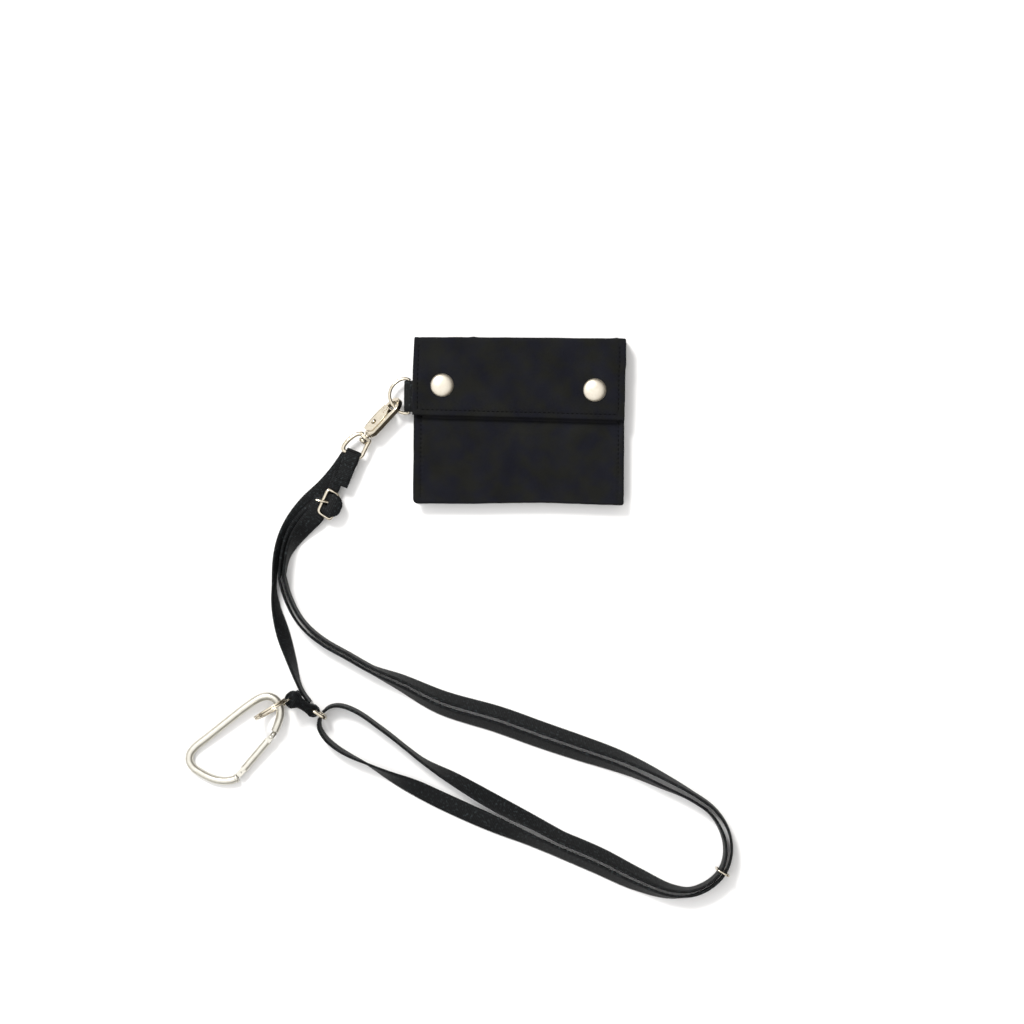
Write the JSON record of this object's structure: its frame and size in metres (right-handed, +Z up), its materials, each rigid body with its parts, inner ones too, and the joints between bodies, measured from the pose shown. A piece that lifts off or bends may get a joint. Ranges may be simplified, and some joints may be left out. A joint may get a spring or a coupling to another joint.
{
  "type": "neck pouch wallet",
  "caption": "Flat fabric neck pouch with a two-snap flap, clipped by a trigger hook to a doubled webbing neck strap with a pin buckle, rings and a carabiner.",
  "frame": {"origin": "centre of the pouch's back face, on the surface it lies on", "axes": "+X along the pouch's long side away from the ring tab, +Y towards the flap's fold, +Z up out of the flap"},
  "size_m": [0.2887, 0.2956, 0.0241],
  "materials": {
    "shell_fabric": "matte black nylon twill",
    "lining_fabric": "thin dark nylon lining",
    "webbing": "black ribbed grosgrain webbing",
    "nickel": "polished warm nickel plate",
    "snap_cap": "satin pearl nickel",
    "carabiner_alloy": "matte silver anodised",
    "spring_steel": "drawn steel wire"
  },
  "bodies": {
    "lanyard": {"swivel_bail": "nickel", "hook_strap_fold": "webbing", "hook_strap": "webbing", "neck_strap_free": "webbing", "neck_strap_sewn": "webbing", "buckle_loop": "webbing", "buckle_frame": "nickel", "carabiner_tab": "webbing"},
    "hook": {"hook_body": "nickel", "trigger_rivet": "nickel", "trigger_spring": "spring_steel"},
    "trigger": {"hook_trigger": "nickel"},
    "d_ring": {"d_ring": "nickel"},
    "pouch": {"back_panel": "shell_fabric", "bottom_gusset": "shell_fabric", "side_gusset_left": "shell_fabric", "side_gusset_right": "shell_fabric", "front_panel": "shell_fabric", "main_divider": "lining_fabric", "card_pocket_upper": "lining_fabric", "card_pocket_lower": "lining_fabric", "ring_tab": "webbing", "snap_stud_left": "nickel", "snap_stud_right": "nickel"},
    "spine": {"flap_spine": "shell_fabric"},
    "flap": {"flap_panel": "shell_fabric", "snap_cap_left": "snap_cap", "snap_cap_right": "snap_cap", "snap_socket_left": "nickel", "snap_socket_right": "nickel"},
    "prong": {"buckle_prong": "nickel"},
    "keeper": {"keeper_ring": "nickel"},
    "tab_ring": {"tab_ring": "nickel"},
    "split_ring": {"split_ring": "nickel"},
    "carabiner": {"carabiner_body": "carabiner_alloy", "gate_rivet": "carabiner_alloy"},
    "gate": {"carabiner_gate": "carabiner_alloy", "gate_latch_pin": "carabiner_alloy"}
  },
  "joints": [
    {"name": "hook_swivel", "type": "hinge", "parent": "lanyard", "child": "hook", "pos_m": [-0.07974, -0.00754, 0.0062], "axis": [0.6606, 0.7507, 0], "continuous": true},
    {"name": "hook_on_ring", "type": "hinge", "parent": "hook", "child": "d_ring", "pos_m": [-0.06646, 0.00755, 0.0062], "axis": [-0.7507, 0.6606, 0], "range_deg": [-45, 25]},
    {"name": "ring_in_tab", "type": "hinge", "parent": "d_ring", "child": "pouch", "pos_m": [-0.0586, 0.0128, 0.0062], "axis": [0, 1, 0], "range_deg": [-45, 45]},
    {"name": "spine_fold", "type": "hinge", "parent": "pouch", "child": "spine", "pos_m": [0, 0.0424, 0.0022], "axis": [-1, 0, 0], "range_deg": [0, 85]},
    {"name": "flap_fold", "type": "hinge", "parent": "spine", "child": "flap", "pos_m": [0, 0.0424, 0.0127], "axis": [-1, 0, 0], "range_deg": [0, 85]},
    {"name": "trigger_pivot", "type": "hinge", "parent": "hook", "child": "trigger", "pos_m": [-0.07606, -0.00145, 0.0044], "axis": [0.615, -0.5411, -0.5736], "range_deg": [0, 14], "stiffness_Nm_per_rad": 0.01, "springref_deg": -17.19},
    {"name": "prong_pivot", "type": "hinge", "parent": "lanyard", "child": "prong", "pos_m": [-0.09494, -0.04546, 0.0058], "axis": [0.3784, 0.9256, 0], "range_deg": [0, 12]},
    {"name": "keeper_slide", "type": "slide", "parent": "lanyard", "child": "keeper", "axis": [-0.6141, -0.7892, 0], "range_m": [-0.003, 0.0015]},
    {"name": "tab_ring_swing", "type": "hinge", "parent": "lanyard", "child": "tab_ring", "pos_m": [-0.10865, -0.15224, 0.00605], "axis": [0, 0, 1], "range_deg": [-4, 6]},
    {"name": "split_ring_swing", "type": "hinge", "parent": "lanyard", "child": "split_ring", "pos_m": [-0.11893, -0.14646, 0.0124], "axis": [0, 0, 1], "range_deg": [-14, 10]},
    {"name": "carabiner_swing", "type": "hinge", "parent": "split_ring", "child": "carabiner", "pos_m": [-0.1284, -0.14964, 0.00629], "axis": [0, 0, 1], "range_deg": [-20, 20]},
    {"name": "gate_pivot", "type": "hinge", "parent": "carabiner", "child": "gate", "pos_m": [-0.12976, -0.16725, 0.00545], "axis": [0.0658, 0.0426, -0.9969], "range_deg": [0, 25], "stiffness_Nm_per_rad": 0.01, "springref_deg": -17.19}
  ],
  "couplings": [
    {"joint": "flap_fold", "follows": "spine_fold", "ratio": 1}
  ]
}
